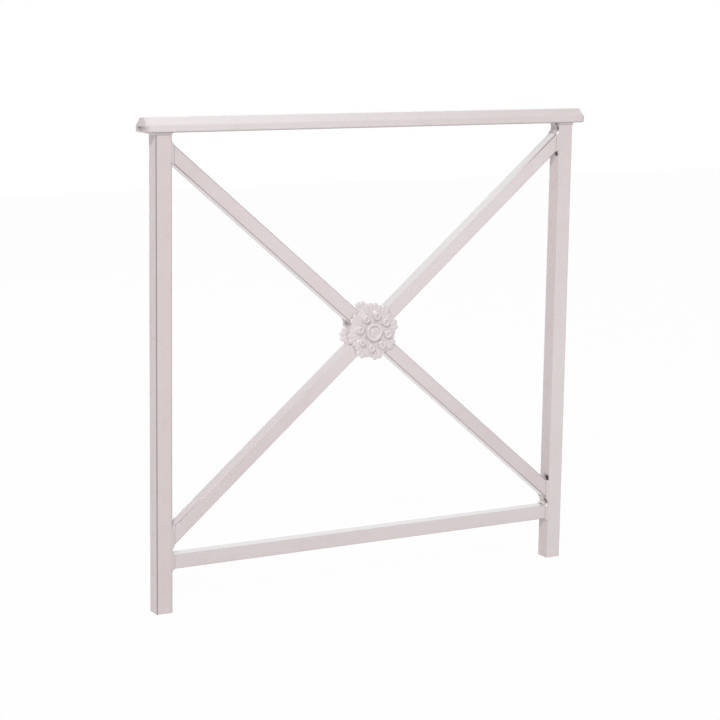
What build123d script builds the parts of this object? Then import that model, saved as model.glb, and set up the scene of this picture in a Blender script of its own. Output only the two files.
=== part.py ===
"""One bay of a welded steel street barrier: two posts, a hand rail with sloping shoulders,
a lower rail, crossed diagonals that meet at a round hub, and a cast rosette on each side of it.

The origin is the middle of the left post's foot, at ground level. X runs along the barrier
to the right post, Y runs from the front to the back, and Z is up.
"""

import os
from math import acos, atan2, cos, degrees, hypot, sin, tan

from build123d import *

# Whole barrier, in millimetres
barrier_height = 1000
post_spacing = 955

# Posts of square tube, cut off flat at ground level
post_width = 35
post_wall = 2
post_corner = 3

# Lower rail and diagonals of a smaller square tube
bar_width = 30
bar_wall = 2
bar_corner = 3
inner_corner = 1
lower_rail_clearance = 90
brace_top_gap = 18.5
brace_bottom_gap = 15

# Hand rail of tube with a narrow flat crown, sloping shoulders and upright sides, and a cap
# welded on each end
handrail_width = 52
handrail_height = 30
handrail_crown = 21
handrail_side = 15
handrail_wall = 2
handrail_overhang = 24
crown_radius = 4
shoulder_radius = 6
heel_radius = 6
cap_thickness = 6
cap_rounding = 1.5

# Weld beads: how far they run along a bar and past it, how thick they end, and the shares of
# the gap between lower rail and diagonal that their feet on the post take up
weld_leg = 6
weld_toe = 0.4
weld_corner = 4.5
weld_setback = 0.1
brace_weld_spread = 3
handrail_weld_leg = 4.5
handrail_weld_spread = 2.5
brace_weld_share = 0.48
rail_weld_share = 0.33

# Hub of round tube that the diagonals meet, a little above the crossing of their centre lines
hub_diameter = 93
hub_wall = 3
hub_lift = 2

# Cast rosette: a flat base, an outer ring of leaves that fan into lobes, an inner ring of
# curled leaves that end in round knobs with an eye, and a dished boss with a pip
rosette_diameter = 122
rosette_base_diameter = 104
rosette_base_thickness = 3
leaf_count = 8
outer_leaf_turn = 12
lobe_turn = 11
outer_leaf_height = 5
lobe_width = 10
lobe_taper = 20
lobe_turn_shares = (-1.5, -0.5, 0.5, 1.5)
lobe_reach_shares = (0.9, 1, 1, 0.9)
petal_width = 18
petal_height = 8.5
knob_ring_diameter = 68
knob_diameter = 18
knob_height = 13
eye_diameter = 10
eye_pip_diameter = 5
boss_diameter = 32
boss_height = 12
dish_diameter = 22
dish_depth = 3.5
pip_diameter = 9
pip_height = 2

# Places worked out from the sizes above
post_height = barrier_height - handrail_height
bay_left = post_width / 2
bay_right = post_spacing - post_width / 2
bay_width = bay_right - bay_left
lower_rail_top = lower_rail_clearance + bar_width
brace_top = post_height - brace_top_gap
brace_bottom = lower_rail_top + brace_bottom_gap
brace_reach = brace_top - brace_bottom
brace_angle = acos(bar_width / hypot(brace_reach, bay_width)) - atan2(bay_width, brace_reach)
brace_cut = bar_width / cos(brace_angle)
crossing = Vector(post_spacing / 2, 0, (brace_top + brace_bottom) / 2)
brace_half_length = post_spacing / 2 / cos(brace_angle)
hub_middle = crossing + Vector(0, 0, hub_lift)
handrail_left = bay_left - post_width - handrail_overhang
handrail_right = bay_right + post_width + handrail_overhang
brace_weld_web = brace_bottom_gap * brace_weld_share
rail_weld_spread = brace_bottom_gap * rail_weld_share


def tube_section(width, wall, corner):
    """Cross-section of a square tube with rounded corners."""
    with BuildSketch() as section:
        RectangleRounded(width, width, corner)
        RectangleRounded(width - 2 * wall, width - 2 * wall, inner_corner, mode=Mode.SUBTRACT)
    return section.sketch


def handrail_section(inset):
    """Outline of the hand rail over its flat underside, drawn inside the outer face by the inset."""
    half_width = handrail_width / 2
    half_crown = handrail_crown / 2
    with BuildSketch() as section:
        with BuildLine():
            Polyline(
                (-half_width, 0),
                (half_width, 0),
                (half_width, handrail_side),
                (half_crown, handrail_height),
                (-half_crown, handrail_height),
                (-half_width, handrail_side),
                close=True,
            )
        make_face()
        for level, radius in ((-1, crown_radius), (1, shoulder_radius), (0, heel_radius)):
            fillet(section.vertices().group_by(Axis.Y)[level], radius)
        if inset:
            offset(amount=-inset, mode=Mode.REPLACE)
    return section.sketch


def handrail_plane(x):
    """Plane across the hand rail at x, level with the rail's underside."""
    return Plane(origin=(x, 0, post_height), x_dir=(0, 1, 0), z_dir=(1, 0, 0))


def rail_plane(x):
    """Plane across the lower rail at x, on the rail's centre line."""
    return Plane(origin=(x, 0, lower_rail_clearance + bar_width / 2), x_dir=(0, 1, 0), z_dir=(1, 0, 0))


def brace_direction(rise):
    """Direction of a diagonal from left to right, upwards for a rise of 1 and down for -1."""
    return Vector(cos(brace_angle), 0, rise * sin(brace_angle))


def brace_plane(rise):
    """Plane across a diagonal at the crossing."""
    return Plane(origin=crossing, x_dir=(0, 1, 0), z_dir=brace_direction(rise))


def hub_plane():
    """Plane in the middle of the hub, across its axis."""
    return Plane(origin=hub_middle, x_dir=(1, 0, 0), z_dir=(0, -1, 0))


def post_core(x):
    """A post's outside, without its bore."""
    with BuildPart() as core:
        with BuildSketch(Plane(origin=(x, 0, 0))):
            RectangleRounded(post_width, post_width, post_corner)
        extrude(amount=post_height)
    return core.part


def bar_core(plane, reach):
    """A square bar's outside, without its bore, running the reach both ways from the plane."""
    with BuildPart() as core:
        with BuildSketch(plane):
            RectangleRounded(bar_width, bar_width, bar_corner)
        extrude(amount=reach, both=True)
    return core.part


def handrail_core():
    """The hand rail's outside, from cap to cap."""
    with BuildPart() as core:
        with BuildSketch(handrail_plane(handrail_left)):
            add(handrail_section(0))
        extrude(amount=handrail_right - handrail_left)
    return core.part


def make_post(x):
    """Upright tube with its foot on the ground and its top under the hand rail."""
    with BuildPart() as post:
        with BuildSketch(Plane(origin=(x, 0, 0))):
            add(tube_section(post_width, post_wall, post_corner))
        extrude(amount=post_height)
    return post.part


def make_handrail():
    """Tube lying on the posts, between its end caps."""
    with BuildPart() as handrail:
        with BuildSketch(handrail_plane(handrail_left + cap_thickness)):
            add(handrail_section(0))
            add(handrail_section(handrail_wall), mode=Mode.SUBTRACT)
        extrude(amount=handrail_right - handrail_left - 2 * cap_thickness)
    return handrail.part


def make_cap(x, outward):
    """Solid cap on one end of the hand rail, its edges rounded where it faces out."""
    with BuildPart() as cap:
        with BuildSketch(handrail_plane(x)):
            add(handrail_section(0))
        extrude(amount=outward * cap_thickness)
        end_face = cap.faces().filter_by(Axis.X).sort_by(Axis.X)[-1 if outward > 0 else 0]
        fillet(end_face.edges(), cap_rounding)
    return cap.part


def make_lower_rail():
    """Level tube between the posts."""
    with BuildPart() as rail:
        with BuildSketch(rail_plane(bay_left)):
            add(tube_section(bar_width, bar_wall, bar_corner))
        extrude(amount=bay_width)
    return rail.part


def make_brace(rise, side):
    """Diagonal tube from the hub to the post on the side, -1 for left, fitted to both."""
    post_face = bay_right if side > 0 else bay_left
    with BuildPart() as brace:
        with BuildSketch(brace_plane(rise)):
            add(tube_section(bar_width, bar_wall, bar_corner))
        extrude(amount=side * brace_half_length)
        split(bisect_by=Plane(origin=(post_face, 0, 0), z_dir=(-side, 0, 0)), keep=Keep.TOP)
        with BuildSketch(hub_plane()):
            Circle(hub_diameter / 2)
        extrude(amount=bar_width, both=True, mode=Mode.SUBTRACT)
    return brace.part


def make_hub():
    """Short round tube at the crossing, open to the front and the back."""
    with BuildPart() as hub:
        with BuildSketch(hub_plane()):
            Circle(hub_diameter / 2)
            Circle(hub_diameter / 2 - hub_wall, mode=Mode.SUBTRACT)
        extrude(amount=bar_width / 2, both=True)
    return hub.part


def make_weld(seat, sizes, leg, lean, spread, neighbours):
    """Bead around the end of a bar.

    The seat plane lies on the face that the bar meets and faces along the bar. The sizes are
    the bar's section there, the leg is how far the bead runs along the bar, and the bar leans
    along the seat's x. The spread is how far the bead's foot reaches past the bar: back and
    on along the seat's x, and to both sides.
    """
    length, depth = sizes
    back, on, aside = spread
    toe_plane = seat.offset(leg)
    toe_plane.origin = toe_plane.origin + seat.x_dir * (leg * tan(lean))
    with BuildPart() as weld:
        with BuildSketch(seat) as foot:
            with Locations(((on - back) / 2, 0)):
                RectangleRounded(length + back + on, depth + 2 * aside, weld_corner)
        with BuildSketch(toe_plane):
            RectangleRounded(length + 2 * weld_toe, depth + 2 * weld_toe, bar_corner)
        loft(ruled=True)
        extrude(foot.sketch, amount=-post_corner)
        for neighbour in neighbours:
            add(neighbour, mode=Mode.SUBTRACT)
    return weld.part


def make_rosette():
    """Cast rosette lying on its flat back, one piece with its leaves and boss."""
    on_seat = (Align.CENTER, Align.CENTER, Align.MIN)
    knob_ring = knob_ring_diameter / 2
    knob_radius = knob_diameter / 2
    knob_top = knob_height + eye_diameter**2 / (4 * knob_diameter)
    knob_foot = knob_top - knob_radius
    eye_floor = knob_top - eye_diameter / 2
    petal_foot = (boss_diameter + petal_width) / 2
    inner_leaf_turn = outer_leaf_turn + 180 / leaf_count
    dish_radius = ((dish_diameter / 2) ** 2 + dish_depth**2) / (2 * dish_depth)
    dish_floor = boss_height - dish_depth
    with BuildPart() as rosette:
        Cylinder(rosette_base_diameter / 2, rosette_base_thickness, align=on_seat)
        for turn_share, reach_share in zip(lobe_turn_shares, lobe_reach_shares):
            lobe_tip = reach_share * rosette_diameter / 2 - lobe_width / 2
            turn = outer_leaf_turn + turn_share * lobe_turn
            with BuildSketch():
                with PolarLocations((knob_ring + lobe_tip) / 2, leaf_count, turn):
                    SlotCenterToCenter(lobe_tip - knob_ring, lobe_width)
            extrude(amount=outer_leaf_height, taper=lobe_taper)
        with BuildSketch():
            with PolarLocations((knob_ring + petal_foot) / 2, leaf_count, inner_leaf_turn):
                SlotCenterToCenter(knob_ring - petal_foot, petal_width)
        extrude(amount=petal_height)
        with Locations((0, 0, knob_foot)):
            with PolarLocations(knob_ring, leaf_count, inner_leaf_turn):
                Sphere(knob_radius, arc_size1=0, align=on_seat)
        with Locations((0, 0, knob_top)):
            with PolarLocations(knob_ring, leaf_count, inner_leaf_turn):
                Sphere(eye_diameter / 2, mode=Mode.SUBTRACT)
        with Locations((0, 0, eye_floor)):
            with PolarLocations(knob_ring, leaf_count, inner_leaf_turn):
                Sphere(eye_pip_diameter / 2)
        Cylinder(boss_diameter / 2, boss_height, align=on_seat)
        with Locations((0, 0, dish_floor + dish_radius)):
            Sphere(dish_radius, mode=Mode.SUBTRACT)
        with Locations((0, 0, dish_floor + pip_height - pip_diameter / 2)):
            Sphere(pip_diameter / 2, arc_size1=0, align=on_seat)
    return rosette.part


def seat_on_post(x, facing, z):
    """Plane on a post's inner face at height z, facing into the bay, with its x axis upright."""
    return Plane(origin=(x, 0, z), x_dir=(0, 0, 1), z_dir=(facing, 0, 0))


# Posts, rails, diagonals and hub
pieces = {
    "left_post": make_post(0),
    "right_post": make_post(post_spacing),
    "handrail": make_handrail(),
    "handrail_left_cap": make_cap(handrail_left + cap_thickness, -1),
    "handrail_right_cap": make_cap(handrail_right - cap_thickness, 1),
    "lower_rail": make_lower_rail(),
    "rising_diagonal_lower": make_brace(1, -1),
    "rising_diagonal_upper": make_brace(1, 1),
    "falling_diagonal_upper": make_brace(-1, -1),
    "falling_diagonal_lower": make_brace(-1, 1),
    "hub": make_hub(),
}

# Welds under the hand rail, at the ends of the lower rail and at the ends of the diagonals
handrail_body = handrail_core()
lower_rail_body = bar_core(rail_plane(post_spacing / 2), post_spacing / 2)
brace_bodies = {rise: bar_core(brace_plane(rise), brace_half_length) for rise in (-1, 1)}
brace_low = brace_bottom + brace_cut / 2
brace_high = brace_top - brace_cut / 2
flush_spread = (post_width - bar_width) / 2 - weld_setback
rail_middle = lower_rail_clearance + bar_width / 2
for side, post_x, inner_x, facing in (("left", 0, bay_left, 1), ("right", post_spacing, bay_right, -1)):
    post_body = post_core(post_x)
    under_handrail = Plane(origin=(post_x, 0, post_height), z_dir=(0, 0, -1))
    pieces[f"{side}_handrail_weld"] = make_weld(
        under_handrail,
        (post_width, post_width),
        handrail_weld_leg,
        0,
        (handrail_weld_spread, handrail_weld_spread, handrail_weld_spread),
        (post_body, handrail_body),
    )
    pieces[f"{side}_lower_rail_weld"] = make_weld(
        seat_on_post(inner_x, facing, rail_middle),
        (bar_width, bar_width),
        weld_leg,
        0,
        (rail_weld_spread, rail_weld_spread, flush_spread),
        (post_body, lower_rail_body),
    )
    for end, z, upward, web in (
        ("lower", brace_low, 1, brace_weld_web),
        ("upper", brace_high, -1, brace_weld_spread),
    ):
        pieces[f"{side}_{end}_diagonal_weld"] = make_weld(
            seat_on_post(inner_x, facing, z),
            (brace_cut, bar_width),
            weld_leg,
            upward * brace_angle,
            (web, brace_weld_spread, flush_spread),
            (post_body, brace_bodies[upward * facing]),
        )

# Rosettes on the front and the back of the hub, with their leaves in line
hub_reach = Vector(0, bar_width / 2, 0)
rosette_body = make_rosette()
front_seat = Plane(origin=hub_middle - hub_reach, x_dir=(1, 0, 0), z_dir=(0, -1, 0))
back_seat = Plane(origin=hub_middle + hub_reach, x_dir=(-1, 0, 0), z_dir=(0, 1, 0))
pieces["front_rosette"] = front_seat.location * rosette_body
pieces["back_rosette"] = back_seat.location * Rot(0, 0, -2 * outer_leaf_turn) * rosette_body

os.makedirs("parts", exist_ok=True)
for name, piece in pieces.items():
    piece.label = name
    export_step(piece, f"parts/{name}.step")
print(f"diagonals lean {degrees(brace_angle):.2f} degrees and cross at z {crossing.Z:.1f}")
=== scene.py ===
"""Dresses one bay of a welded steel street barrier: satin paint, weld beads, rail caps and cast rosettes."""

import logging
import math
from collections.abc import Callable, Iterator
from contextlib import contextmanager
from dataclasses import dataclass
from enum import Enum

import bmesh
import bpy
from mathutils import Matrix, Vector


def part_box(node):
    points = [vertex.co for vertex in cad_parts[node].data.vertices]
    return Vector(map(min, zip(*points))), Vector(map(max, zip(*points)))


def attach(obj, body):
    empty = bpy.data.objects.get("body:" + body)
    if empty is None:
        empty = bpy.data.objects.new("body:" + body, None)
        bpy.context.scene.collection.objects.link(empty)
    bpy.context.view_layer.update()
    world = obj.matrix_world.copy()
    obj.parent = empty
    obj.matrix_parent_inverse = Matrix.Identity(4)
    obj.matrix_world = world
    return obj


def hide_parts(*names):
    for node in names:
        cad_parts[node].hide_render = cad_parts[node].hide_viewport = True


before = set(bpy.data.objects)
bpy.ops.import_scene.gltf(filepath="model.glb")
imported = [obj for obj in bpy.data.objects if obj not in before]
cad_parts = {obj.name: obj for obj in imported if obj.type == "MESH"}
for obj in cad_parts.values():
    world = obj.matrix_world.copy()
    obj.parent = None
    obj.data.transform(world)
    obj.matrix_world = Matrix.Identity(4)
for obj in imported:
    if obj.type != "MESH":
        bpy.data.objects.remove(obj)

log = logging.getLogger("barrier")

MM = 0.001
BODY = "root"

# Points nearer to each other than this are merged
MERGE_REACH = 0.001 * MM
# Share of the way to its neighbours that a softened point moves
SMOOTHING = 0.5
# How far up or down the normal of a level face points at least
LEVEL = 0.9
# Turn of the diagonals and of the posts from the level
LEAN = math.radians(40.19)
UPRIGHT = math.radians(90)

Piece = bpy.types.Object
Socket = bpy.types.NodeSocket
Colour = tuple[float, float, float, float]
Place = tuple[float, float, float]
Span = tuple[float, float]
Test = Callable[[Vector], bool]


class Slot(Enum):
    """The record's material slots."""

    TUBE = "paint"
    WELD = "weld_paint"
    CASTING = "casting_paint"


class Facing(Enum):
    """The side of the barrier that a rosette is fixed to, with the way it looks along Y."""

    FRONT = -1
    BACK = 1


class End(Enum):
    """The end of the hand rail that a cap closes, with the way it looks along X."""

    LEFT = -1
    RIGHT = 1


class Way(Enum):
    """The way that a level face looks along Z."""

    DOWN = -1
    UP = 1


class Bench:
    """Modelling steps that the pieces share. Each method wraps the operators of one step."""

    @staticmethod
    def only(piece: Piece) -> None:
        """Selects one object alone and makes it the active one."""
        bpy.ops.object.select_all(action="DESELECT")
        piece.select_set(True)
        bpy.context.view_layer.objects.active = piece

    @staticmethod
    def fresh(name: str) -> Piece:
        """Names the primitive just added and puts its place into its mesh.

        Args:
            name: the new object's name.

        Returns:
            The object, at the origin, unturned and unscaled.
        """
        piece = bpy.context.object
        piece.name = piece.data.name = name
        bpy.ops.object.transform_apply(location=True, rotation=True, scale=True)
        return piece

    @staticmethod
    @contextmanager
    def editing(
        piece: Piece, kind: str = "VERT", action: str = "DESELECT"
    ) -> Iterator[bmesh.types.BMesh]:
        """Opens an object in edit mode, and closes it again.

        Args:
            piece: the object to open.
            kind: what is selected there, VERT, EDGE or FACE.
            action: SELECT to start with all of it selected, DESELECT with nothing.

        Yields:
            The open mesh.
        """
        Bench.only(piece)
        bpy.ops.object.mode_set(mode="EDIT")
        bpy.ops.mesh.select_mode(type=kind)
        bpy.ops.mesh.select_all(action=action)
        yield bmesh.from_edit_mesh(piece.data)
        bpy.ops.object.mode_set(mode="OBJECT")

    @staticmethod
    def pick_points(mesh: bmesh.types.BMesh, test: Test) -> None:
        """Selects the points of an open mesh whose place passes the test.

        Args:
            mesh: the open mesh.
            test: takes a point's place and says whether it is wanted.
        """
        for point in mesh.verts:
            point.select_set(test(point.co))
        mesh.select_flush_mode()

    @staticmethod
    def pick_level(mesh: bmesh.types.BMesh, way: Way) -> None:
        """Selects the level faces of an open mesh that look one way.

        Args:
            mesh: the open mesh.
            way: the way that the faces look.
        """
        for face in mesh.faces:
            face.select_set(way.value * face.normal.z > LEVEL)
        mesh.select_flush_mode()

    @staticmethod
    def copy_turned(piece: Piece, turn: float) -> Piece:
        """Copies an object with its own mesh, turned about the Z axis.

        Args:
            piece: the object to copy.
            turn: the turn in radians.

        Returns:
            The copy.
        """
        copy = piece.copy()
        copy.data = piece.data.copy()
        bpy.context.collection.objects.link(copy)
        copy.data.transform(Matrix.Rotation(turn, 4, "Z"))
        return copy

    @staticmethod
    def join(pieces: list[Piece], name: str) -> Piece:
        """Joins objects into the first of them.

        Args:
            pieces: the objects.
            name: the joined object's name.

        Returns:
            The joined object.
        """
        Bench.only(pieces[0])
        for piece in pieces[1:]:
            piece.select_set(True)
        bpy.ops.object.join()
        pieces[0].name = pieces[0].data.name = name
        return pieces[0]

    @staticmethod
    def modify(piece: Piece, kind: str, **settings: object) -> None:
        """Adds a modifier to an object and applies it.

        Args:
            piece: the object.
            kind: the modifier's type.
            settings: the modifier's values by name.
        """
        Bench.only(piece)
        modifier = piece.modifiers.new(kind.lower(), kind)
        for key, value in settings.items():
            setattr(modifier, key, value)
        bpy.ops.object.modifier_apply(modifier=modifier.name)

    @staticmethod
    def fuse(piece: Piece, voxel: float, rounds: int) -> None:
        """Melts overlapping shapes into one closed skin and softens it, as casting and paint do.

        Args:
            piece: the object.
            voxel: the skin's grain.
            rounds: how often the skin is softened.
        """
        Bench.modify(piece, "REMESH", mode="VOXEL", voxel_size=voxel)
        Bench.modify(piece, "SMOOTH", factor=SMOOTHING, iterations=rounds)

    @staticmethod
    def copy_of_node(node: str, name: str) -> Piece:
        """Takes a merged copy of a frame node's mesh.

        Args:
            node: the frame node.
            name: the copy's name.

        Returns:
            The new object.
        """
        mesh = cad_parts[node].data.copy()
        mesh.name = name
        mesh.materials.clear()
        piece = bpy.data.objects.new(name, mesh)
        bpy.context.collection.objects.link(piece)
        with Bench.editing(piece, action="SELECT"):
            bpy.ops.mesh.remove_doubles(threshold=MERGE_REACH)
            bpy.ops.mesh.customdata_custom_splitnormals_clear()
        return piece

    @staticmethod
    def shade(piece: Piece, angle: float) -> None:
        """Shades an object smooth, with creases sharper than the angle, in degrees, left sharp."""
        Bench.only(piece)
        bpy.ops.object.shade_smooth_by_angle(angle=math.radians(angle))


class Value:
    """A shader socket that takes part in Python sums: each operator adds a Math node."""

    def __init__(self, tree: bpy.types.NodeTree, socket: Socket) -> None:
        """Wraps a socket of a node tree."""
        self.tree = tree
        self.socket = socket

    def math(self, operation: str, *others: "Value | float", swap: bool = False) -> "Value":
        """Adds a Math node that works on this value.

        Args:
            operation: the Math node's operation.
            others: the further operands.
            swap: whether this value comes last.

        Returns:
            The node's result.
        """
        node = self.tree.nodes.new("ShaderNodeMath")
        node.operation = operation
        operands = (*others, self) if swap else (self, *others)
        for socket, operand in zip(node.inputs, operands):
            if isinstance(operand, Value):
                self.tree.links.new(operand.socket, socket)
            else:
                socket.default_value = operand
        return Value(self.tree, node.outputs[0])

    def __add__(self, other: "Value | float") -> "Value":
        """Adds."""
        return self.math("ADD", other)

    __radd__ = __add__

    def __sub__(self, other: "Value | float") -> "Value":
        """Takes away."""
        return self.math("SUBTRACT", other)

    def __rsub__(self, other: float) -> "Value":
        """Takes this value away from a number."""
        return self.math("SUBTRACT", other, swap=True)

    def __mul__(self, other: "Value | float") -> "Value":
        """Multiplies."""
        return self.math("MULTIPLY", other)

    __rmul__ = __mul__

    def __abs__(self) -> "Value":
        """Drops the sign."""
        return self.math("ABSOLUTE")

    def least(self, other: "Value | float") -> "Value":
        """The smaller of two values."""
        return self.math("MINIMUM", other)

    def most(self, other: "Value | float") -> "Value":
        """The larger of two values."""
        return self.math("MAXIMUM", other)

    def step(self, low: float, high: float) -> "Value":
        """Rises smoothly from 0 at the low value to 1 at the high one."""
        node = self.tree.nodes.new("ShaderNodeMapRange")
        node.interpolation_type = "SMOOTHSTEP"
        self.tree.links.new(self.socket, node.inputs["Value"])
        node.inputs["From Min"].default_value = low
        node.inputs["From Max"].default_value = high
        return Value(self.tree, node.outputs[0])


class Recipe:
    """The node tree of one material or of the world."""

    def __init__(self, owner: bpy.types.Material | bpy.types.World) -> None:
        """Empties the owner's node tree."""
        owner.use_nodes = True
        self.tree = owner.node_tree
        self.tree.nodes.clear()

    def add(self, kind: str, settings: dict | None = None, inputs: dict | None = None) -> bpy.types.Node:
        """Adds a node.

        Args:
            kind: the node's type.
            settings: the node's own values, set first.
            inputs: a value, or the socket to link, for each input.

        Returns:
            The node.
        """
        node = self.tree.nodes.new(kind)
        for key, value in (settings or {}).items():
            setattr(node, key, value)
        for key, value in (inputs or {}).items():
            if isinstance(value, Value):
                value = value.socket
            if isinstance(value, Socket):
                self.tree.links.new(value, node.inputs[key])
            else:
                node.inputs[key].default_value = value
        return node

    def value(self, node: bpy.types.Node, output: int | str = 0) -> Value:
        """Wraps one output of a node."""
        return Value(self.tree, node.outputs[output])

    def axes(self, vector: Socket) -> tuple[Value, Value, Value]:
        """Splits a vector into its X, Y and Z."""
        node = self.add("ShaderNodeSeparateXYZ", None, {0: vector})
        return tuple(self.value(node, axis) for axis in "XYZ")

    def along(self, place: Socket, middle: Vector, lean: float) -> Socket:
        """Centres and turns coordinates so that X runs along a bar.

        Args:
            place: the coordinates.
            middle: the bar's middle.
            lean: the bar's turn from the level.

        Returns:
            The turned coordinates.
        """
        inputs = {"Vector": place, "Location": middle, "Rotation": (0.0, lean, 0.0)}
        return self.add("ShaderNodeMapping", {"vector_type": "TEXTURE"}, inputs).outputs[0]

    def mix(self, factor: Value | float, first: object, second: object) -> Socket:
        """Mixes two colours.

        Args:
            factor: the second colour's share.
            first: a colour or the socket of one.
            second: a colour or the socket of one.

        Returns:
            The mixed colour's socket.
        """
        node = self.add("ShaderNodeMix", {"data_type": "RGBA"}, {0: factor, 6: first, 7: second})
        return node.outputs[2]

    def noise(self, place: Socket, size: float, detail: float = 2.0) -> Value:
        """Adds noise with grains of one size.

        Args:
            place: the coordinates.
            size: the grains' size in metres.
            detail: the noise's octaves.

        Returns:
            The noise, about 0.5.
        """
        inputs = {"Vector": place, "Scale": 1 / size, "Detail": detail}
        return self.value(self.add("ShaderNodeTexNoise", None, inputs))


@dataclass(frozen=True)
class Paint:
    """Satin street paint in a pale pinkish grey."""

    colour: Colour = (0.690, 0.596, 0.600, 1.0)
    pooled_colour: Colour = (0.712, 0.622, 0.628, 1.0)
    # Dark colour for real grime on joints and welds, and for painted shade in creases, corners and under the
    # rail
    grime_and_shade_colour: Colour = (0.270, 0.222, 0.222, 1.0)
    # Painted light: this pale colour, and the share and slope further down, stand in for the brighter light
    # on faces that look up
    painted_light_colour: Colour = (0.900, 0.866, 0.868, 1.0)
    # Painted shade: near-black brown for the ragged dark patches in shadowed corners beside the welds
    shade_spot_colour: Colour = (0.062, 0.038, 0.032, 1.0)
    painted_light_share: float = 0.55
    painted_light_slope: Span = (0.30, 0.80)
    roughness: float = 0.28
    roughness_swing: float = 0.05
    mottle_size: float = 60 * MM
    mottle_detail: float = 4.0
    mottle_spread: Span = (0.3, 0.7)
    peel_size: float = 3.0 * MM
    peel_depth: float = 0.006 * MM

    def coat(self, name: str) -> "Coat":
        """Starts a material with the coat that all surfaces share: mottled, with a fine orange peel.

        Args:
            name: the painted piece's name.

        Returns:
            The coat.
        """
        material = bpy.data.materials.new(f"paint_{name}")
        recipe = Recipe(material)
        surface = recipe.add("ShaderNodeTexCoord")
        place = surface.outputs["Object"]
        mottle = recipe.noise(place, self.mottle_size, self.mottle_detail)
        colour = recipe.mix(mottle.step(*self.mottle_spread), self.colour, self.pooled_colour)
        _, backward, upward = recipe.axes(surface.outputs["Normal"])
        peel = recipe.noise(place, self.peel_size)
        roughness = self.roughness + (peel + mottle - 1.0) * self.roughness_swing
        # painted highlight: faces that look up are marked for a paler colour, standing in for the brighter
        # light on the tops
        top_light_mask = upward.step(*self.painted_light_slope)
        height = peel * self.peel_depth
        return Coat(self, material, recipe, place, backward, top_light_mask, colour, roughness, height)


@dataclass(frozen=True)
class ShadeSpot:
    """A small ragged patch of painted shade in a corner beside the welds."""

    place: Place
    reach: float
    share: float = 1.0
    core: float = 0.4
    grain: float = 5 * MM
    grain_detail: float = 3.0


@dataclass
class Coat:
    """A coat of paint while its material is being made."""

    paint: Paint
    material: bpy.types.Material
    recipe: Recipe
    place: Socket
    backward: Value
    upward: Value
    colour: Socket
    roughness: Value
    height: Value
    gloss: float = 1.0
    gloss_roughness: float = 0.12
    ior: float = 1.5
    grain_detail: float = 3.0
    shade_spot_facing: Span = (0.35, 0.65)

    def stain(self, share: Value, colour: Colour) -> None:
        """Mixes another colour into the coat by a share."""
        self.colour = self.recipe.mix(share, self.colour, colour)

    def painted_light(self, share: Value) -> None:
        """Paints light into the coat by a share: a paler colour that stands in for brighter light, not dust.
        """
        self.stain(share, self.paint.painted_light_colour)

    def settle(self) -> None:
        """Paints the usual light onto what faces up, as a painted highlight on the tops."""
        self.painted_light(self.upward * self.paint.painted_light_share)

    def grime_and_shade(self, share: Value) -> None:
        """Darkens the coat by a share: real grime on joints and weld specks, and painted shade in creases,
        hollows, corners and under the rail.
        """
        self.stain(share, self.paint.grime_and_shade_colour)

    def paint_shade_spots(self, spots: tuple[ShadeSpot, ...]) -> None:
        """Paints spots of shade into the coat, on faces that look along the barrier, up or down.

        Args:
            spots: the spots.
        """
        edgewise = 1.0 - abs(self.backward).step(*self.shade_spot_facing)
        for spot in spots:
            inputs = {0: self.place, 1: spot.place}
            node = self.recipe.add("ShaderNodeVectorMath", {"operation": "DISTANCE"}, inputs)
            grain = self.recipe.noise(self.place, spot.grain, spot.grain_detail)
            away = self.recipe.value(node, "Value") + (grain - 0.5) * spot.reach
            shaded = 1.0 - away.step(spot.core * spot.reach, spot.reach)
            self.stain(edgewise * shaded * spot.share, self.paint.shade_spot_colour)

    def raise_by(self, size: float, depth: float) -> None:
        """Adds noise of one grain size and depth, in metres, to the coat's height."""
        self.height = self.height + self.recipe.noise(self.place, size, self.grain_detail) * depth

    def finish(self) -> bpy.types.Material:
        """Ends the material: colour, roughness and bump on one shader under a thin gloss.

        Returns:
            The material.
        """
        inputs = {"Strength": 1.0, "Distance": 1.0, "Height": self.height}
        bump = self.recipe.add("ShaderNodeBump", None, inputs)
        inputs = {
            "Base Color": self.colour, "Roughness": self.roughness, "Normal": bump.outputs[0],
            "IOR": self.ior, "Coat Weight": self.gloss, "Coat Roughness": self.gloss_roughness,
        }
        shader = self.recipe.add("ShaderNodeBsdfPrincipled", None, inputs)
        self.recipe.add("ShaderNodeOutputMaterial", None, {"Surface": shader.outputs[0]})
        return self.material


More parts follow.
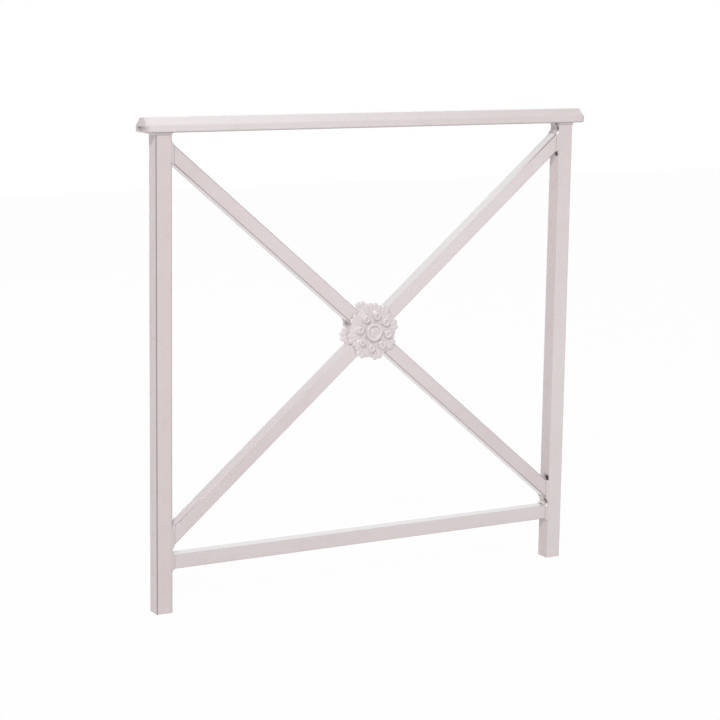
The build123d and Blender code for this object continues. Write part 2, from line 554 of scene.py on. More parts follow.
@dataclass
class PaintedTube:
    """Painted square tube, with a painted dark line of shade along its arrises and faint marks along its
    length.

    Painted light on its top and a painted sheen on its front and back are shares at its two ends.
    """

    paint: Paint
    nodes: tuple[str, ...]
    middle: Vector
    lean: float
    half_width: float
    painted_edge_shade: float
    corner: float = 3 * MM
    arris_span: Span = (0.75, 0.5)
    mark_size: float = 2.5 * MM
    mark_stretch: float = 60.0
    mark_depth: float = 0.004 * MM
    # Shares of painted light on the top and of painted sheen on the fronts and backs, at the two ends
    painted_light: Span = (0.75, 0.75)
    painted_light_reach: float = 0.5
    painted_sheen: Span = (0.0, 0.0)
    painted_sheen_facing: Span = (0.3, 0.7)
    painted_end_shade: float = 0.0
    end_reach: Span = (0.47, 0.57)
    gloss: float = 1.0
    shade_spots: tuple[ShadeSpot, ...] = ()

    def arris(self, recipe: Recipe, along: Socket) -> Value:
        """Marks the tube's rounded arrises.

        Args:
            recipe: the material's nodes.
            along: the coordinates, with X along the tube.

        Returns:
            The share of painted shade.
        """
        far, deep, high = (abs(axis) for axis in recipe.axes(along))
        span = (self.half_width - share * self.corner for share in self.arris_span)
        # Painted shade: a dark line along the arrises, stronger towards the ends, standing in for the shade
        # and dark reflection there
        edge = high.least(deep).step(*span)
        return edge * (self.painted_edge_shade + far.step(*self.end_reach) * self.painted_end_shade)

    def dress(self) -> None:
        """Makes the tube's material and gives it to the frame's nodes."""
        coat = self.paint.coat(self.nodes[0])
        recipe = coat.recipe
        along = recipe.along(coat.place, self.middle, self.lean)
        # Painted light and painted sheen: a paler colour on the tops, fronts and backs that fades along the
        # tube as the light falls off
        far = recipe.axes(along)[0].step(-self.painted_light_reach, self.painted_light_reach)
        painted_sheen, painted_light = (start + far * (end - start) for start, end in (self.painted_sheen, self.painted_light))
        coat.painted_light(abs(coat.backward).step(*self.painted_sheen_facing) * painted_sheen)
        coat.painted_light(coat.upward * painted_light)
        coat.grime_and_shade(self.arris(recipe, along))
        inputs = {"Vector": along, "Scale": (1 / self.mark_stretch, 1.0, 1.0)}
        drawn = recipe.add("ShaderNodeMapping", None, inputs).outputs[0]
        coat.height = coat.height + recipe.noise(drawn, self.mark_size) * self.mark_depth
        coat.gloss = self.gloss
        coat.paint_shade_spots(self.shade_spots)
        material = coat.finish()
        for node in self.nodes:
            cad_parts[node].material_slots[0].material = material
        log.info("painted %s", ", ".join(self.nodes))


@dataclass
class PaintedHandrail(PaintedTube):
    """Painted hand rail, with painted shade along its lower corners and underside."""

    shade_low: float = 0.6 * MM
    shade_high: float = 2.8 * MM

    def arris(self, recipe: Recipe, along: Socket) -> Value:
        """Marks the rail's underside and lower corners.

        Args:
            recipe: the material's nodes.
            along: the coordinates, with X along the rail.

        Returns:
            The share of painted shade.
        """
        # Painted shade under the rail: darker along the underside and lower corners
        height = recipe.axes(along)[2] + self.half_width
        return (1.0 - height.step(self.shade_low, self.shade_high)) * self.painted_edge_shade


@dataclass
class PaintedHub:
    """Painted round hub between the diagonals, with painted shade in the corners where the bars meet it."""

    paint: Paint
    node: str
    half_width: float
    corner_painted_shade: float = 0.3
    corner_shade_reach: float = 1.2 * MM

    def dress(self) -> None:
        """Makes the hub's material and gives it to the frame's node."""
        coat = self.paint.coat(self.node)
        recipe = coat.recipe
        middle = middle_of(self.node)
        bars = [recipe.along(coat.place, middle, lean) for lean in (-LEAN, LEAN)]
        rising, falling = (abs(recipe.axes(along)[2]) for along in bars)
        # Painted shade in the corners where the bars meet the hub
        corner = 1.0 - rising.least(falling).step(self.half_width, self.half_width + self.corner_shade_reach)
        coat.settle()
        coat.grime_and_shade(corner * self.corner_painted_shade)
        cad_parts[self.node].material_slots[0].material = coat.finish()
        log.info("painted %s", self.node)


@dataclass
class RosetteCasting:
    """Cast rosette lying face up: a dished boss, curled leaves with eyed knobs, fanned outer leaves."""

    relief: float
    tip_radius: float = 61 * MM
    plate_radius: float = 46 * MM
    plate_thickness: float = 3 * MM
    plate_sides: int = 96
    plate_foot: float = -1 * MM
    cutter_side: float = 244 * MM
    skirt_radius: float = 50 * MM
    skirt_foot: float = 1.5 * MM
    skirt_top_radius: float = 30 * MM
    skirt_top: float = 5.5 * MM
    leaf_count: int = 8
    outer_turn: float = 12.0
    lobe_angle: float = 11.0
    lobe_shares: tuple[float, ...] = (0.9, 1.0, 1.0, 0.9)
    rib_foot: float = 20 * MM
    rib_foot_width: float = 5 * MM
    rib_flatness: float = 0.5
    rib_rise: float = 4.6 * MM
    rib_drop: float = 2.2 * MM
    tip_width: float = 12.4 * MM
    knob_ring: float = 34 * MM
    knob_radius: float = 5.9 * MM
    knob_roll: float = 2.7 * MM
    knob_tilt: float = 1.0 * MM
    knob_roll_sides: int = 16
    eye_width: float = 6.0 * MM
    eye_height: float = 6.0 * MM
    neck_radius: float = 7.4 * MM
    neck_height: float = 9.6 * MM
    neck_flare: float = 1.1
    neck_sides: int = 40
    petal_middle: float = 37 * MM
    petal_length: float = 28 * MM
    petal_width: float = 21.5 * MM
    petal_bulk: float = 1.6
    petal_lift: float = 0.2
    petal_tilt: float = 8.0
    boss_radius: float = 18.4 * MM
    boss_sink: float = 1 * MM
    boss_flare: float = 1.12
    boss_sides: int = 64
    rim_width: float = 4.6 * MM
    dish_depth: float = 4.5 * MM
    dish_draw: float = 0.88
    pip_radius: float = 6.0 * MM
    pip_height: float = 2.2 * MM
    swelling_sides: int = 32
    swelling_rings: int = 16
    grain: float = 0.55 * MM
    softening: int = 3
    crease: float = 50.0
    inside: float = 0.999

    def plate(self) -> Piece:
        """Models the flat plate and the sloping skirt behind the leaves.

        Returns:
            The plate, with its foot a little below the origin.
        """
        bpy.ops.mesh.primitive_cylinder_add(
            vertices=self.plate_sides, radius=self.plate_radius,
            depth=self.plate_thickness - self.plate_foot,
            location=(0, 0, (self.plate_thickness + self.plate_foot) / 2),
        )
        plate = Bench.fresh("rosette_plate")
        with Bench.editing(plate, "FACE") as mesh:
            Bench.pick_level(mesh, Way.UP)
            bpy.ops.mesh.inset(thickness=self.plate_thickness)
        bpy.ops.mesh.primitive_cylinder_add(
            vertices=self.plate_sides, radius=self.skirt_radius, depth=self.skirt_top - self.skirt_foot,
            location=(0, 0, (self.skirt_top + self.skirt_foot) / 2),
        )
        skirt = Bench.fresh("rosette_skirt")
        with Bench.editing(skirt, "FACE") as mesh:
            Bench.pick_level(mesh, Way.UP)
            narrowing = (self.skirt_top_radius / self.skirt_radius,) * 2
            bpy.ops.transform.resize(value=(*narrowing, 1.0), center_override=(0, 0, self.skirt_top))
        return Bench.join([plate, skirt], "rosette_plate")

    def boss(self) -> Piece:
        """Models the boss: a flat rim around a dish with a domed pip.

        Returns:
            The boss, standing on the origin.
        """
        top = self.relief - self.boss_sink
        bpy.ops.mesh.primitive_cylinder_add(
            vertices=self.boss_sides, radius=self.boss_radius, depth=top, location=(0, 0, top / 2)
        )
        boss = Bench.fresh("rosette_boss")
        with Bench.editing(boss, "FACE") as mesh:
            Bench.pick_level(mesh, Way.DOWN)
            bpy.ops.transform.resize(value=(self.boss_flare, self.boss_flare, 1.0))
        with Bench.editing(boss, "FACE") as mesh:
            Bench.pick_level(mesh, Way.UP)
            bpy.ops.mesh.inset(thickness=self.rim_width)
            sunk = {"value": (0, 0, -self.dish_depth)}
            bpy.ops.mesh.extrude_region_move(TRANSFORM_OT_translate=sunk)
            bpy.ops.transform.resize(value=(self.dish_draw, self.dish_draw, 1.0))
        floor = Vector((0, 0, top - self.dish_depth))
        sizes = (2 * self.pip_radius, 2 * self.pip_radius, 2 * self.pip_height)
        pip = self.swelling("rosette_pip", sizes, floor)
        return Bench.join([boss, pip], "rosette_boss")

    def swelling(self, name: str, sizes: Place, place: Vector) -> Piece:
        """Models a rounded swelling that leaf shapes start from.

        Args:
            name: the shape's name.
            sizes: its length along X, its width and its height.
            place: its middle.

        Returns:
            The swelling.
        """
        bpy.ops.mesh.primitive_uv_sphere_add(
            segments=self.swelling_sides, ring_count=self.swelling_rings, radius=0.5,
            rotation=(0, UPRIGHT, 0),
        )
        shape = Bench.fresh(name)
        with Bench.editing(shape, action="SELECT"):
            bpy.ops.transform.resize(value=sizes, center_override=(0, 0, 0))
            bpy.ops.transform.translate(value=place)
        return shape

    def inner_leaf(self) -> list[Piece]:
        """Models one curled leaf along X: a sloping, egg-shaped body and a knob with a domed eye.

        Returns:
            The leaf's shapes.
        """
        ring = self.knob_ring
        sizes = (self.petal_length, self.petal_width, self.petal_bulk * self.neck_height)
        body = self.swelling("leaf_body", sizes, Vector())
        body.data.transform(Matrix.Rotation(math.radians(self.petal_tilt), 4, "Y"))
        lift = self.petal_lift * self.neck_height
        body.data.transform(Matrix.Translation((self.petal_middle, 0, lift)))
        bpy.ops.mesh.primitive_cylinder_add(
            vertices=self.neck_sides, radius=self.neck_radius, depth=self.neck_height,
            location=(ring, 0, self.neck_height / 2),
        )
        neck = Bench.fresh("leaf_neck")
        with Bench.editing(neck, "FACE") as mesh:
            Bench.pick_level(mesh, Way.DOWN)
            bpy.ops.transform.resize(value=(self.neck_flare, self.neck_flare, 1.0))
        bpy.ops.mesh.primitive_torus_add(
            major_segments=self.neck_sides, minor_segments=self.knob_roll_sides,
            major_radius=self.knob_radius, minor_radius=self.knob_roll,
            location=(ring, 0, self.relief - self.knob_roll),
        )
        knob = Bench.fresh("leaf_knob")
        with Bench.editing(knob) as mesh:
            Bench.pick_points(mesh, lambda place: place.x < ring)
            bpy.ops.transform.translate(value=(0, 0, -self.knob_tilt))
        sizes = (self.eye_width, self.eye_width, self.eye_height)
        height = self.relief - self.knob_roll - self.knob_tilt
        eye = self.swelling("leaf_eye", sizes, Vector((ring, 0, height)))
        return [body, neck, knob, eye]

    def outer_leaf(self) -> list[Piece]:
        """Models one outer leaf along X: ribs that fan out and end in rounded tips.

        Returns:
            The leaf's shapes.
        """
        shapes = []
        spread = (len(self.lobe_shares) - 1) / 2
        for index, share in enumerate(self.lobe_shares):
            tip = share * self.tip_radius - self.tip_width / 2
            bpy.ops.mesh.primitive_cone_add(
                vertices=self.swelling_sides, radius1=self.rib_foot_width / 2, radius2=self.tip_width / 2,
                depth=tip - self.rib_foot, location=((tip + self.rib_foot) / 2, 0, 0),
                rotation=(0, UPRIGHT, 0),
            )
            rib = Bench.fresh("leaf_rib")
            bulb = self.swelling("leaf_tip", (self.tip_width,) * 3, Vector((tip, 0, 0)))
            for shape in (rib, bulb):
                with Bench.editing(shape, action="SELECT") as mesh:
                    flat = (1.0, 1.0, self.rib_flatness)
                    bpy.ops.transform.resize(value=flat, center_override=(0, 0, 0))
                    bpy.ops.transform.translate(value=(0, 0, self.rib_rise))
                    Bench.pick_points(mesh, lambda place: place.x > self.rib_foot + MM)
                    bpy.ops.transform.translate(value=(0, 0, -self.rib_drop))
            lobe = Bench.join([rib, bulb], "leaf_lobe")
            fan = math.radians((index - spread) * self.lobe_angle)
            lobe.data.transform(Matrix.Rotation(fan, 4, "Z"))
            shapes.append(lobe)
        return shapes

    def flatten_back(self, casting: Piece) -> None:
        """Cuts the casting off flat at the plane that it is seated on.

        Args:
            casting: the casting.
        """
        bpy.ops.mesh.primitive_cube_add(size=self.cutter_side, location=(0, 0, -self.cutter_side / 2))
        cutter = Bench.fresh("casting_back")
        Bench.modify(casting, "BOOLEAN", operation="DIFFERENCE", solver="MANIFOLD", object=cutter)
        casting.data.materials.clear()
        bpy.data.objects.remove(cutter)

    def build(self) -> Piece:
        """Joins the shapes and melts them into one casting.

        Returns:
            The casting.
        """
        shapes = [self.plate(), self.boss()]
        inner_turn = self.outer_turn + 180 / self.leaf_count
        for turn, leaf in ((inner_turn, self.inner_leaf()), (self.outer_turn, self.outer_leaf())):
            for index in range(self.leaf_count):
                angle = math.radians(turn) + index * math.tau / self.leaf_count
                shapes += [Bench.copy_turned(shape, angle) for shape in leaf]
            for shape in leaf:
                bpy.data.objects.remove(shape)
        casting = Bench.join(shapes, "rosette_casting")
        Bench.fuse(casting, self.grain, self.softening)
        self.flatten_back(casting)
        reach = max(point.co.xy.length for point in casting.data.vertices)
        rise = max(point.co.z for point in casting.data.vertices)
        with Bench.editing(casting, action="SELECT"):
            widen = self.tip_radius / reach
            stretch = (widen, widen, self.relief * self.inside / rise)
            bpy.ops.transform.resize(value=stretch, center_override=(0, 0, 0))
        Bench.shade(casting, self.crease)
        log.info("%s: %d faces", casting.name, len(casting.data.polygons))
        return casting


@dataclass
class Rosette:
    """A rosette on one side of the crossing."""

    node: str
    facing: Facing
    paint: Paint
    turn: float = math.radians(RosetteCasting.outer_turn)
    sand_size: float = 1.4 * MM
    sand_depth: float = 0.05 * MM
    hollow_span: Span = (0.15, 0.75)
    hollow_painted_shade: float = 0.03
    crease_reach: float = 6 * MM
    crease_open: Span = (0.42, 0.9)
    crease_samples: int = 8
    crease_painted_shade: float = 0.85
    seat_side_painted_light: float = 0.8
    painted_light_facing: Span = (0.2, 0.7)
    gloss: float = 0.15

    def __post_init__(self) -> None:
        """Reads the rosette's place and relief from its frame node."""
        low, high = (Vector(corner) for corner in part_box(self.node))
        self.relief = high.y - low.y
        self.seat = (low + high) / 2
        self.seat.y = low.y if self.facing is Facing.BACK else high.y

    def build(self, casting: Piece) -> Piece:
        """Sets a copy of the casting on the bars.

        Args:
            casting: the casting, lying face up on the origin.

        Returns:
            The rosette.
        """
        rosette = Bench.copy_turned(casting, 0.0)
        rosette.name = rosette.data.name = f"{self.node}_casting"
        rosette.data.transform(self.placement())
        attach(rosette, BODY)
        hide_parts(self.node)
        log.info("set %s", rosette.name)
        return rosette

    def placement(self) -> Matrix:
        """Works out the move from lying face up to the seat on the hub, in line with the other rosette.

        Returns:
            The move.
        """
        upright = Matrix.Rotation(UPRIGHT, 4, "X")
        if self.facing is Facing.BACK:
            in_line = Matrix.Rotation(-2 * self.turn, 4, "Z")
            upright = Matrix.Rotation(math.pi, 4, "Z") @ upright @ in_line
        return Matrix.Translation(self.seat) @ upright

    def dress(self, rosette: Piece) -> None:
        """Gives the casting its grainy paint, with painted shade in hollows and creases and painted light on
        the side seated on the bars.

        Args:
            rosette: the casting.
        """
        coat = self.paint.coat(self.node)
        recipe = coat.recipe
        # Painted shade: darker in the low hollows of the relief
        rise = abs(recipe.axes(coat.place)[1] - self.seat.y)
        hollow = 1.0 - rise.step(*(share * self.relief for share in self.hollow_span))
        # Painted shade: darker in creases, from the casting's own occlusion
        settings = {"samples": self.crease_samples, "only_local": True}
        open_share = recipe.add("ShaderNodeAmbientOcclusion", settings, {"Distance": self.crease_reach})
        crease = 1.0 - recipe.value(open_share, "AO").step(*self.crease_open)
        coat.settle()
        coat.grime_and_shade(hollow * self.hollow_painted_shade)
        coat.grime_and_shade(crease * self.crease_painted_shade)
        # Painted light: paler on the side seated on the bars, which lies in shade between them
        underside = (coat.backward * -self.facing.value).step(*self.painted_light_facing)
        coat.painted_light(underside * self.seat_side_painted_light)
        coat.raise_by(self.sand_size, self.sand_depth)
        coat.gloss = self.gloss
        rosette.data.materials.append(coat.finish())


@dataclass
class RailCap:
    """Rounded cap on one end of the hand rail, with a rough slot and a drop of weld in its face."""

    side: End
    paint: Paint
    seam: float
    seam_line: Span = (1.2 * MM, 0.6 * MM)
    grain: float = 0.45 * MM
    rounding: int = 12
    softening: int = 2
    crease: float = 60.0
    crisp: float = 2 * MM
    inside: float = 0.02 * MM
    crown_from: float = 14 * MM
    crown_draw: float = 0.68
    crown_steps: int = 12
    slot_low: float = 4.5 * MM
    slot_high: float = 12 * MM
    slot_front: float = -19 * MM
    slot_back: float = 14 * MM
    slot_depth: float = 3.8 * MM
    slot_corner: float = 1.6 * MM
    slot_corner_steps: int = 3
    slot_shade: Span = (0.8 * MM, 2.5 * MM)
    slot_fade_aside: float = 1 * MM
    slot_fade_above: float = 2 * MM
    slot_painted_shade: float = 0.5
    face_span: Span = (1.5 * MM, 3.0 * MM)
    face_darkening: float = 0.24
    speck_size: float = 4 * MM
    speck_detail: float = 3.0
    speck_spread: Span = (0.4, 0.6)
    speck_above: Span = (1 * MM, 3 * MM)
    speck_grime: float = 0.5
    drop_place: Span = (-12.5 * MM, 6 * MM)
    drop_size: float = 5 * MM
    drop_sink: float = 0.6
    drop_stretch: float = 1.4
    drop_sides: int = 24
    drop_rings: int = 12
    pit_size: float = 2.0 * MM
    pit_depth: float = 0.1 * MM

    def __post_init__(self) -> None:
        """Reads the cap's box from its frame node."""
        self.node = f"handrail_{self.side.name.lower()}_cap"
        self.low, self.high = (Vector(corner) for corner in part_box(self.node))
        self.end = self.high.x if self.side is End.RIGHT else self.low.x

    def draw_crown(self, cap: Piece) -> None:
        """Narrows the crown at the free end step by step, and moves the cap just inside the frame's.

        Args:
            cap: the cap.
        """
        rise = self.high.z - self.low.z - self.crown_from
        draw = self.crown_draw ** (1 / self.crown_steps)
        with Bench.editing(cap) as mesh:
            for level in range(self.crown_steps):
                foot = self.low.z + self.crown_from + level * rise / self.crown_steps
                Bench.pick_points(mesh, lambda at: abs(at.x - self.end) < self.crisp and at.z > foot)
                bpy.ops.transform.resize(value=(1.0, draw, 1.0), center_override=(self.end, 0, 0))
            bpy.ops.mesh.select_all(action="SELECT")
            bpy.ops.transform.translate(value=(-self.side.value * self.inside, 0, 0))

    def round_end(self, cap: Piece) -> None:
        """Rounds the free end and leaves the edge on the rail crisp.

        Args:
            cap: the cap.
        """
        reach = self.high.x - self.low.x - self.crisp
        points = [point.index for point in cap.data.vertices if abs(point.co.x - self.end) < reach]
        free = cap.vertex_groups.new(name="free_end")
        free.add(points, 1.0, "REPLACE")
        Bench.modify(cap, "SMOOTH", factor=SMOOTHING, iterations=self.rounding, vertex_group=free.name)
        cap.vertex_groups.clear()

    def cut_slot(self, cap: Piece) -> None:
        """Cuts the slot into the end face.

        Args:
            cap: the cap.
        """
        middle = (self.slot_front + self.slot_back) / 2
        height = self.low.z + (self.slot_low + self.slot_high) / 2
        sizes = (2 * self.slot_depth, self.slot_back - self.slot_front, self.slot_high - self.slot_low)
        bpy.ops.mesh.primitive_cube_add(size=1.0, location=(self.end, middle, height), scale=sizes)
        cutter = Bench.fresh("cap_slot")
        with Bench.editing(cutter, "EDGE", "SELECT"):
            bpy.ops.mesh.bevel(offset=self.slot_corner, segments=self.slot_corner_steps)
        Bench.modify(cap, "BOOLEAN", operation="DIFFERENCE", solver="EXACT", object=cutter)
        bpy.data.objects.remove(cutter)

    def weld_drop(self) -> Piece:
        """Models the drop of weld in the slot.

        Returns:
            The drop.
        """
        along = self.end - self.side.value * self.drop_sink * self.drop_size
        across, height = self.drop_place
        bpy.ops.mesh.primitive_uv_sphere_add(
            segments=self.drop_sides, ring_count=self.drop_rings, radius=self.drop_size / 2,
            location=(along, across, self.low.z + height),
        )
        drop = Bench.fresh("cap_weld_drop")
        with Bench.editing(drop, action="SELECT"):
            bpy.ops.transform.resize(value=(1.0, self.drop_stretch, 1.0))
        return drop

    def build(self) -> Piece:
        """Models the cap on the frame's plain one.

        Returns:
            The cap.
        """
        cap = Bench.copy_of_node(self.node, f"{self.node}_end")
        Bench.modify(cap, "REMESH", mode="VOXEL", voxel_size=self.grain)
        self.draw_crown(cap)
        self.round_end(cap)
        self.cut_slot(cap)
        cap = Bench.join([cap, self.weld_drop()], f"{self.node}_end")
        Bench.fuse(cap, self.grain, self.softening)
        Bench.shade(cap, self.crease)
        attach(cap, BODY)
        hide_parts(self.node)
        log.info("%s: %d faces", cap.name, len(cap.data.polygons))
        return cap

    def dress(self, cap: Piece) -> None:
        """Gives the cap its paint: painted shade in the slot, darker over its end face, and a dark line
        along the seam.

        Args:
            cap: the cap.
        """
        coat = self.paint.coat(self.node)
        recipe = coat.recipe
        coat.settle()
        along, across, height = recipe.axes(coat.place)
        sunk = self.end - along if self.side is End.RIGHT else along - self.end
        height = height - self.low.z
        below = 1.0 - height.step(self.slot_high, self.slot_high + self.slot_fade_above)
        between = 1.0 - abs(across).step(self.slot_back, self.slot_back + self.slot_fade_aside)
        # Painted shade in the slot, below its top edge
        coat.grime_and_shade(sunk.step(*self.slot_shade) * below * between * self.slot_painted_shade)
        # Darker over the end face
        face = 1.0 - sunk.step(*self.face_span)
        coat.grime_and_shade(face * self.face_darkening)
        speck = recipe.noise(coat.place, self.speck_size, self.speck_detail).step(*self.speck_spread)
        coat.grime_and_shade(face * below * speck * height.step(*self.speck_above) * self.speck_grime)
        thickness = self.high.x - self.low.x
        coat.grime_and_shade(sunk.step(*(thickness - inward for inward in self.seam_line)) * self.seam)
        coat.raise_by(self.pit_size, self.pit_depth)
        cap.data.materials.append(coat.finish())


@dataclass
class WeldBead:
    """Painted-over weld bead, swollen and softened from its plain form."""

    node: str
    paint: Paint
    shade_spots: tuple[ShadeSpot, ...] = ()
    swell: float = 0.3 * MM
    grain: float = 0.5 * MM
    softening: int = 3
    crease: float = 60.0
    toe_line: float = 1.3 * MM
    toe_core: float = 0.4
    toe_grime: float = 0.5
    toe_sway: float = 1.2 * MM
    toe_sway_size: float = 6 * MM
    ripple_size: float = 2.2 * MM
    ripple_depth: float = 0.3 * MM

    def build(self) -> Piece:
        """Models the bead on the frame's plain one.

        Returns:
            The bead.
        """
        bead = Bench.copy_of_node(self.node, f"{self.node}_bead")
        Bench.modify(bead, "DISPLACE", strength=self.swell, mid_level=0.0)
        Bench.fuse(bead, self.grain, self.softening)
        Bench.shade(bead, self.crease)
        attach(bead, BODY)
        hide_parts(self.node)
        log.info("%s: %d faces", bead.name, len(bead.data.polygons))
        return bead

    def dress(self, bead: Piece) -> None:
        """Gives the bead its paint over a fine ripple, with a dark toe line and painted shade in its
        corners.

        Args:
            bead: the bead.
        """
        coat = self.paint.coat(self.node)
        recipe = coat.recipe
        coat.settle()
        low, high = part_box(self.node)
        along, _, height = recipe.axes(coat.place)
        if "handrail" in self.node:
            from_toe = height - low[2]
        elif self.node.startswith("left"):
            from_toe = high[0] - along
        else:
            from_toe = along - low[0]
        sway = (recipe.noise(coat.place, self.toe_sway_size) - 0.5) * self.toe_sway
        toe = 1.0 - (from_toe + sway).step(self.toe_core * self.toe_line, self.toe_line)
        coat.grime_and_shade(toe * self.toe_grime)
        coat.paint_shade_spots(self.shade_spots)
        coat.raise_by(self.ripple_size, self.ripple_depth)
        bead.data.materials.append(coat.finish())


@dataclass(frozen=True)
class Lamp:
    """A square soft lamp: its name, place, side in metres and power in watts."""

    name: str
    place: Place
    size: float
    power: float

    def hang(self, aim: Vector) -> None:
        """Hangs the lamp.

        Args:
            aim: the point that it faces.
        """
        data = bpy.data.lights.new(self.name, "AREA")
        data.size = self.size
        data.energy = self.power
        lamp = bpy.data.objects.new(self.name, data)
        lamp.location = self.place
        lamp.rotation_euler = (aim - Vector(self.place)).to_track_quat("-Z", "Y").to_euler()
        bpy.context.collection.objects.link(lamp)


@dataclass
class Studio:
    """White floor, even light all round, and lamps at the left, at the right, overhead and behind."""

    floor_reach: float = 8.0
    floor_middle: Place = (0.48, 0.0, 0.0)
    floor_colour: Colour = (0.95, 0.95, 0.95, 1.0)
    floor_white: float = 0.97
    white: Colour = (1.0, 1.0, 1.0, 1.0)
    sky_strength: float = 0.41
    lamps: tuple[Lamp, ...] = (
        Lamp("key", (-3.90, -5.62, 5.72), 1.6, 354.0),
        Lamp("fill", (1.6, -1.7, 0.15), 1.2, 3.2),
        Lamp("overhead", (-0.1, 0.3, 4.5), 2.0, 18.0),
        Lamp("behind", (0.1, 4.6, 0.8), 1.2, 24.0),
    )

    def seen_directly(self, recipe: Recipe) -> Value:
        """Marks the rays that look at the backdrop itself or at its mirror image.

        Args:
            recipe: the nodes of the floor or the world.

        Returns:
            1 for such a ray, otherwise 0.
        """
        path = recipe.add("ShaderNodeLightPath")
        kinds = ("Is Camera Ray", "Is Glossy Ray", "Is Transmission Ray")
        camera, glossy, through = (recipe.value(path, kind) for kind in kinds)
        return camera.most(glossy).most(through)

    def floor(self) -> None:
        """Lays the floor, which stays white around the barrier's shadow."""
        bpy.ops.mesh.primitive_plane_add(size=2 * self.floor_reach, location=self.floor_middle)
        floor = Bench.fresh("floor")
        material = bpy.data.materials.new("white_floor")
        recipe = Recipe(material)
        matt = recipe.add("ShaderNodeBsdfDiffuse", None, {"Color": self.floor_colour})
        white = recipe.add("ShaderNodeEmission", None, {"Color": self.white, "Strength": 1.0})
        seen = self.seen_directly(recipe) * self.floor_white
        inputs = {0: seen, 1: matt.outputs[0], 2: white.outputs[0]}
        mixed = recipe.add("ShaderNodeMixShader", None, inputs)
        recipe.add("ShaderNodeOutputMaterial", None, {"Surface": mixed.outputs[0]})
        floor.data.materials.append(material)

    def sky(self) -> None:
        """Surrounds the barrier with even light that looks white."""
        world = bpy.data.worlds.new("studio")
        bpy.context.scene.world = world
        recipe = Recipe(world)
        strength = self.sky_strength + self.seen_directly(recipe) * (1.0 - self.sky_strength)
        light = recipe.add("ShaderNodeBackground", None, {"Color": self.white, "Strength": strength})
        recipe.add("ShaderNodeOutputWorld", None, {"Surface": light.outputs[0]})

    def build(self, aim: Vector) -> None:
        """Sets up floor, sky and lamps around a point.

        Args:
            aim: the point that the lamps face.
        """
        self.floor()
        self.sky()
        for lamp in self.lamps:
            lamp.hang(aim)


@dataclass
class PhotoCamera:
    """Camera at the photograph's angle, in degrees, looking at a point of the barrier."""

    azimuth: float = -30.116
    elevation: float = 10.077
    roll: float = 0.810
    distance: float = 4.47697
    target: Place = (0.457657, 0.0, 0.483775)
    lens: float = 106.806
    sensor: float = 36.0

    def build(self) -> None:
        """Makes the camera and hands it to the scene."""
        data = bpy.data.cameras.new("photo_camera")
        data.lens = self.lens
        data.sensor_width = self.sensor
        camera = bpy.data.objects.new("photo_camera", data)
        turn, lift = math.radians(self.azimuth), math.radians(self.elevation)
        level = math.cos(lift)
        back = Vector((math.sin(turn) * level, -math.cos(turn) * level, math.sin(lift)))
        right = Vector((0, 0, 1)).cross(back).normalized()
        straight = Matrix((right, back.cross(right), back)).transposed().to_4x4()
        rolled = straight @ Matrix.Rotation(math.radians(self.roll), 4, "Z")
        place = Vector(self.target) + back * self.distance
        camera.matrix_world = Matrix.Translation(place) @ rolled
        bpy.context.collection.objects.link(camera)
        bpy.context.scene.camera = camera


# Painted shade: dark patches in the shadowed corners under the rail, beside the welds and where a bar meets
# the hub
CORNER_SHADE_SPOTS = (
    ShadeSpot((0.9375, -0.0080, 0.9690), 7 * MM),
    ShadeSpot((0.9375, -0.0115, 0.9585), 5 * MM),
    ShadeSpot((0.9375, -0.0090, 0.9030), 8 * MM),
    ShadeSpot((0.9375, -0.0110, 0.1825), 10 * MM),
    ShadeSpot((0.9375, -0.0020, 0.1860), 9 * MM, 0.35),
    ShadeSpot((0.9340, -0.0090, 0.1310), 9 * MM),
    ShadeSpot((0.9310, 0.0020, 0.1180), 6 * MM),
    ShadeSpot((0.4245, -0.0135, 0.5645), 4 * MM),
    ShadeSpot((0.0220, -0.0135, 0.1777), 3 * MM),
)


def middle_of(*nodes: str) -> Vector:
    """Finds the middle of the box around frame nodes."""
    lows, highs = zip(*(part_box(node) for node in nodes))
    return Vector([(min(low) + max(high)) / 2 for low, high in zip(zip(*lows), zip(*highs))])


def half_size(node: str, axis: str) -> float:
    """Finds half of a frame node's size along an axis, "x", "y" or "z"."""
    low, high = (Vector(corner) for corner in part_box(node))
    return (getattr(high, axis) - getattr(low, axis)) / 2


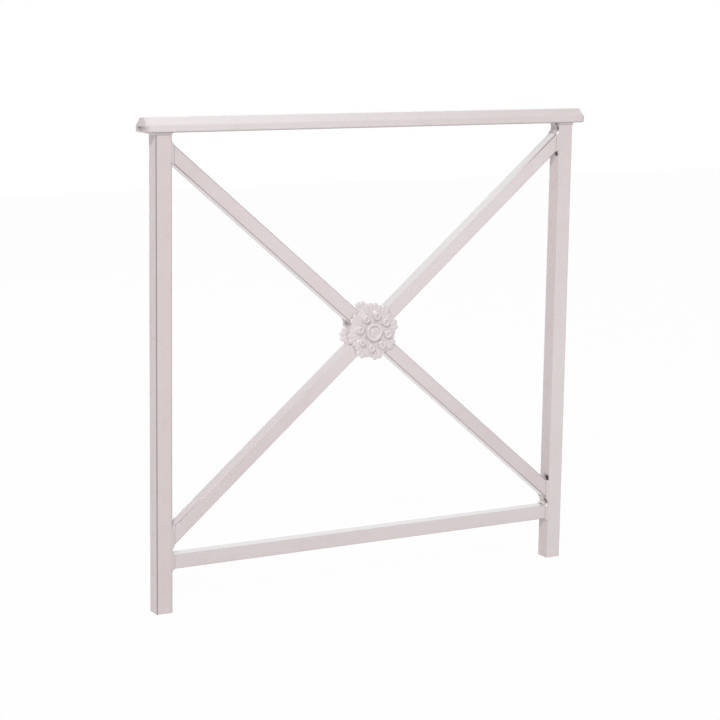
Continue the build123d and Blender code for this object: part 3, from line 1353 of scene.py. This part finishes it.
def painted_tubes(paint: Paint) -> tuple[PaintedTube, ...]:
    """Lists the posts, rails and diagonals with their own painted shade on edges and in corners, painted
    light, and gloss.

    Args:
        paint: the paint.

    Returns:
        The tubes, still to be dressed.
    """
    rising = ("rising_diagonal_upper", "rising_diagonal_lower")
    falling = ("falling_diagonal_upper", "falling_diagonal_lower")
    crossing = middle_of(*rising)
    bar, post = half_size("lower_rail", "y"), half_size("left_post", "y")
    return (
        PaintedTube(paint, ("left_post",), middle_of("left_post"), UPRIGHT, post, painted_edge_shade=1.0, gloss=0.3),
        PaintedTube(
            paint, ("right_post",), middle_of("right_post"), UPRIGHT, post, painted_edge_shade=0.15, gloss=0.2,
            painted_sheen=(0.16, 0.30), shade_spots=CORNER_SHADE_SPOTS,
        ),
        PaintedTube(
            paint, ("lower_rail",), middle_of("lower_rail"), 0.0, bar, painted_edge_shade=0.3,
            painted_light=(0.9, 0.9), painted_sheen=(0.06, 0.16),
        ),
        PaintedTube(
            paint, rising, crossing, -LEAN, bar, painted_edge_shade=0.1, painted_end_shade=0.8,
            painted_light=(0.05, 1.0), painted_sheen=(0.0, 0.14), shade_spots=CORNER_SHADE_SPOTS,
        ),
        PaintedTube(
            paint, falling, crossing, LEAN, bar, painted_edge_shade=0.55, painted_end_shade=0.3, shade_spots=CORNER_SHADE_SPOTS,
        ),
        PaintedHandrail(
            paint, ("handrail",), middle_of("handrail"), 0.0, half_size("handrail", "z"), painted_edge_shade=0.9,
            painted_light=(0.50, 0.02), painted_sheen=(0.30, 0.10),
        ),
    )


def main() -> None:
    """Builds and dresses the barrier, piece by piece."""
    logging.basicConfig(level=logging.INFO, format="%(message)s")
    bpy.context.scene.view_settings.view_transform = "Standard"
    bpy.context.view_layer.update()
    paint = Paint()
    # A lighter copy of the paint for the hub and rosettes: painted light that brightens these shaded parts
    lit_paint = Paint(colour=(0.765, 0.684, 0.689, 1.0), pooled_colour=(0.788, 0.711, 0.718, 1.0))
    for tube in painted_tubes(paint):
        tube.dress()
    PaintedHub(lit_paint, "hub", half_size("lower_rail", "y")).dress()
    for cap in (RailCap(End.LEFT, paint, seam=0.05), RailCap(End.RIGHT, paint, seam=0.4)):
        cap.dress(cap.build())
    rosettes = [Rosette(f"{facing.name.lower()}_rosette", facing, lit_paint) for facing in Facing]
    casting = RosetteCasting(rosettes[0].relief).build()
    for rosette in rosettes:
        rosette.dress(rosette.build(casting))
    bpy.data.objects.remove(casting)
    for node in sorted(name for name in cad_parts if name.endswith("_weld")):
        bead = WeldBead(node, paint, CORNER_SHADE_SPOTS)
        bead.dress(bead.build())
    Studio().build(middle_of("rising_diagonal_upper", "rising_diagonal_lower"))
    PhotoCamera().build()


if __name__ == "__main__":
    main()
